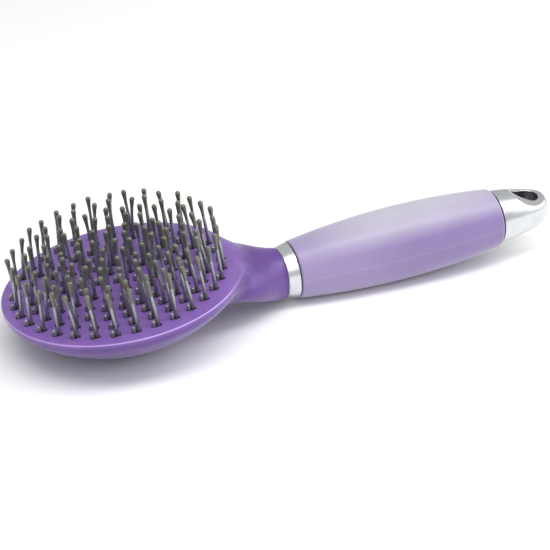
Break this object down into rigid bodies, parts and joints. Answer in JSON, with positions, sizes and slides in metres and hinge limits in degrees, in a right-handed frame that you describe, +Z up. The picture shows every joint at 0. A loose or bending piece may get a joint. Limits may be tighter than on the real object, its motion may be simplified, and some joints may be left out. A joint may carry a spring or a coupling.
{
  "type": "bristle brush",
  "caption": "Pet grooming brush with a round purple head of ball-tipped nylon pins and short pegs, a soft swelling grip, silver collar and holed end cap.",
  "frame": {"origin": "centre of the small flat land under the head's back, on the plane the brush lies on", "axes": "+X along the brush from head to end cap, +Z up, pins pointing up"},
  "size_m": [0.2414, 0.098, 0.0484],
  "materials": {
    "purple_plastic": "satin moulded polypropylene",
    "grey_nylon": "smooth nylon",
    "dark_rubber": "matte elastomer",
    "black_plastic": "moulded",
    "silver_plastic": "satin metallised",
    "lavender_gel": "translucent soft gel, satin",
    "core_plastic": "moulded",
    "screw_steel": "zinc plated"
  },
  "bodies": {
    "root": {"head_shell": "purple_plastic", "back_cover": "purple_plastic", "bristle_bed": "dark_rubber", "backing_plate": "black_plastic", "long_pins": "grey_nylon", "short_pegs": "grey_nylon", "neck_spacer": "dark_rubber", "ferrule_ring": "silver_plastic", "grip_spacer": "dark_rubber", "handle_core": "core_plastic", "core_screw": "screw_steel", "grip_sleeve": "lavender_gel", "cap_spacer": "dark_rubber", "end_cap": "silver_plastic"}
  },
  "joints": []
}
